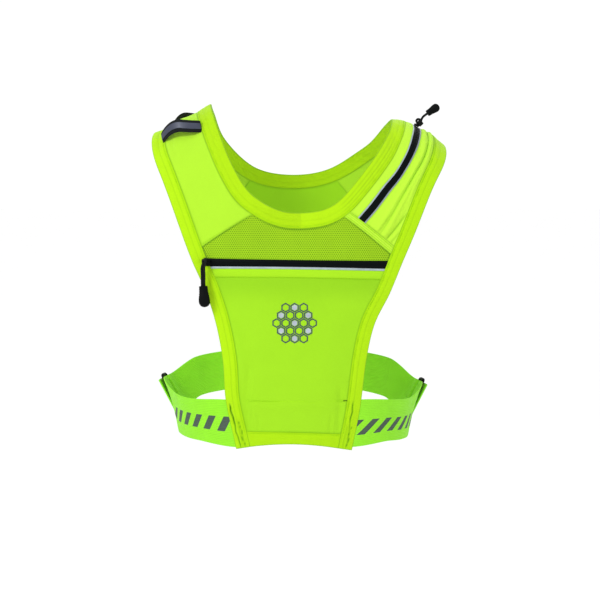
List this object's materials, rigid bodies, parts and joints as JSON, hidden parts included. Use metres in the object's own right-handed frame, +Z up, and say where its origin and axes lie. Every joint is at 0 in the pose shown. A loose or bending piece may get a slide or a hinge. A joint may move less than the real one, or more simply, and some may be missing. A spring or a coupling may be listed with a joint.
{
  "type": "running vest",
  "caption": "Sleeveless running vest with a zipped chest pocket, a zipped shoulder pocket, bound edges and an elastic belt.",
  "frame": {"origin": "midway between the two straps at the top of the shoulders, where the wearer holds the vest up", "axes": "+Z up, -Y out of the front (the chest), +X towards the wearer's left, which is the viewer's right"},
  "size_m": [0.3556, 0.2387, 0.4117],
  "materials": {
    "lime_fabric": "smooth light polyester cloth",
    "lime_strap_fabric": "smooth light polyester cloth",
    "lime_binding": "stretch cloth folded round the edges",
    "lime_mesh": "open mesh cloth",
    "lime_elastic": "ribbed elastic with dark bars",
    "black_zip": "coated zip tape",
    "silver_piping": "reflective silver",
    "black_elastic": "flat woven elastic",
    "grey_reflective": "reflective tape",
    "black_plastic": "moulded plastic",
    "black_metal": "satin black",
    "black_cord": "braided cord",
    "black_rubber": "moulded matt rubber"
  },
  "bodies": {
    "root": {"front_pocket_panel": "lime_fabric", "pocket_top_hem": "lime_fabric", "back_panel": "lime_fabric", "front_mesh_yoke": "lime_mesh", "strap_panel_right": "lime_strap_fabric", "strap_panel_left_inner": "lime_strap_fabric", "strap_panel_left_outer": "lime_strap_fabric", "strap_panel_left_back": "lime_strap_fabric", "strap_seam_band": "lime_strap_fabric", "neck_binding": "lime_binding", "armhole_binding_right": "lime_binding", "armhole_binding_left": "lime_binding", "hem_binding_front": "lime_binding", "hem_binding_back": "lime_binding", "chest_zip_tape": "black_zip", "shoulder_zip_tape": "black_zip", "chest_zip_piping": "silver_piping", "shoulder_zip_piping_inner": "silver_piping", "shoulder_zip_piping_outer": "silver_piping", "chest_zip_slider": "black_metal", "shoulder_zip_slider": "black_metal", "chest_pull_cord": "black_cord", "shoulder_pull_cord": "black_cord", "chest_pull_tip": "black_rubber", "shoulder_pull_tip": "black_rubber", "front_loop": "black_elastic", "rear_loop": "black_elastic", "front_loop_tape": "grey_reflective", "rear_loop_tape": "grey_reflective", "belt_front_right": "lime_elastic", "belt_front_left": "lime_elastic", "belt_back_right": "lime_elastic", "belt_back_left": "lime_elastic", "adjuster_ring_right": "black_plastic", "adjuster_ring_left": "black_plastic"}
  },
  "joints": []
}
